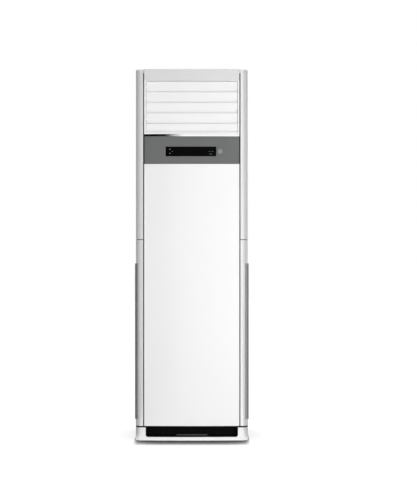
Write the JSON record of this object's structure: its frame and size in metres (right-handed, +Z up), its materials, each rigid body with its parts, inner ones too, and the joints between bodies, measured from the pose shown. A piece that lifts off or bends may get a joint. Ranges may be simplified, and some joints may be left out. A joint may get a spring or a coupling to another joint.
{
  "type": "floor standing air conditioner",
  "caption": "Tall free-standing indoor air conditioner cabinet with a louvered outlet under its top, a control panel with display, and wrap-round side intake grilles.",
  "frame": {"origin": "middle of the plinth's footprint, on the floor", "axes": "+Z up, -Y out of the front panel, +X to the right as seen from the front"},
  "size_m": [0.54, 0.38, 1.755],
  "materials": {
    "white_moulding": "smooth glossy white moulding",
    "louver_white": "satin white moulding",
    "column_silver_white": "satin silver-white paint",
    "fascia_pale_grey": "satin pale grey moulding",
    "control_dark_grey": "satin dark grey",
    "window_black": "glossy smoked black",
    "button_silver": "silver-grey lacquer",
    "polished_trim": "mirror-bright plated trim",
    "painted_sheet_white": "fine-textured white powder coat",
    "zinc_sheet": "zinc-coated sheet",
    "chassis_dark": "matt near-black paint",
    "grille_grey": "matt mid grey moulding",
    "filter_dark": "fine dark filter mesh",
    "duct_grey": "matt dark grey foam-lined moulding",
    "black_plastic": "matt black moulding",
    "recess_bar_grey": "satin grey"
  },
  "bodies": {
    "cabinet": {"base_plinth": "white_moulding", "toe_recess_panel": "black_plastic", "toe_recess_bar": "recess_bar_grey", "bottom_tray": "chassis_dark", "left_chassis_post": "chassis_dark", "right_chassis_post": "chassis_dark", "front_panel": "white_moulding", "control_panel": "control_dark_grey", "display_window": "window_black", "polished_strip": "polished_trim", "outlet_frame": "louver_white", "top_fascia": "fascia_pale_grey", "outlet_duct": "duct_grey", "outlet_vanes": "duct_grey", "left_column_upper": "column_silver_white", "right_column_upper": "column_silver_white", "left_column_lower": "column_silver_white", "right_column_lower": "column_silver_white", "left_column_joiner": "chassis_dark", "right_column_joiner": "chassis_dark", "left_intake_grille": "grille_grey", "right_intake_grille": "grille_grey", "left_air_filter": "filter_dark", "right_air_filter": "filter_dark", "left_side_panel": "painted_sheet_white", "right_side_panel": "painted_sheet_white", "rear_panel": "zinc_sheet", "pipe_cover": "painted_sheet_white", "cable_gland": "black_plastic", "wall_bracket": "zinc_sheet", "top_cover": "column_silver_white"},
    "louver_1": {"louver_1": "louver_white"},
    "louver_2": {"louver_2": "louver_white"},
    "louver_3": {"louver_3": "louver_white"},
    "louver_4": {"louver_4": "louver_white"},
    "louver_5": {"louver_5": "louver_white"},
    "power_button": {"power_button": "button_silver"}
  },
  "joints": [
    {"name": "louver_1_pivot", "type": "hinge", "parent": "cabinet", "child": "louver_1", "pos_m": [0, -0.1755, 1.6691], "axis": [1, 0, 0], "range_deg": [0, 80]},
    {"name": "louver_2_pivot", "type": "hinge", "parent": "cabinet", "child": "louver_2", "pos_m": [0, -0.1755, 1.6193], "axis": [1, 0, 0], "range_deg": [0, 80]},
    {"name": "louver_3_pivot", "type": "hinge", "parent": "cabinet", "child": "louver_3", "pos_m": [0, -0.1755, 1.5695], "axis": [1, 0, 0], "range_deg": [0, 80]},
    {"name": "louver_4_pivot", "type": "hinge", "parent": "cabinet", "child": "louver_4", "pos_m": [0, -0.1755, 1.5197], "axis": [1, 0, 0], "range_deg": [0, 80]},
    {"name": "louver_5_pivot", "type": "hinge", "parent": "cabinet", "child": "louver_5", "pos_m": [0, -0.1755, 1.4699], "axis": [1, 0, 0], "range_deg": [0, 80]},
    {"name": "power_button_push", "type": "slide", "parent": "cabinet", "child": "power_button", "axis": [0, 1, 0], "range_m": [0, 0.0015], "stiffness_N_per_m": 300}
  ],
  "couplings": [
    {"joint": "louver_2_pivot", "follows": "louver_1_pivot", "ratio": 1},
    {"joint": "louver_3_pivot", "follows": "louver_1_pivot", "ratio": 1},
    {"joint": "louver_4_pivot", "follows": "louver_1_pivot", "ratio": 1},
    {"joint": "louver_5_pivot", "follows": "louver_1_pivot", "ratio": 1}
  ]
}
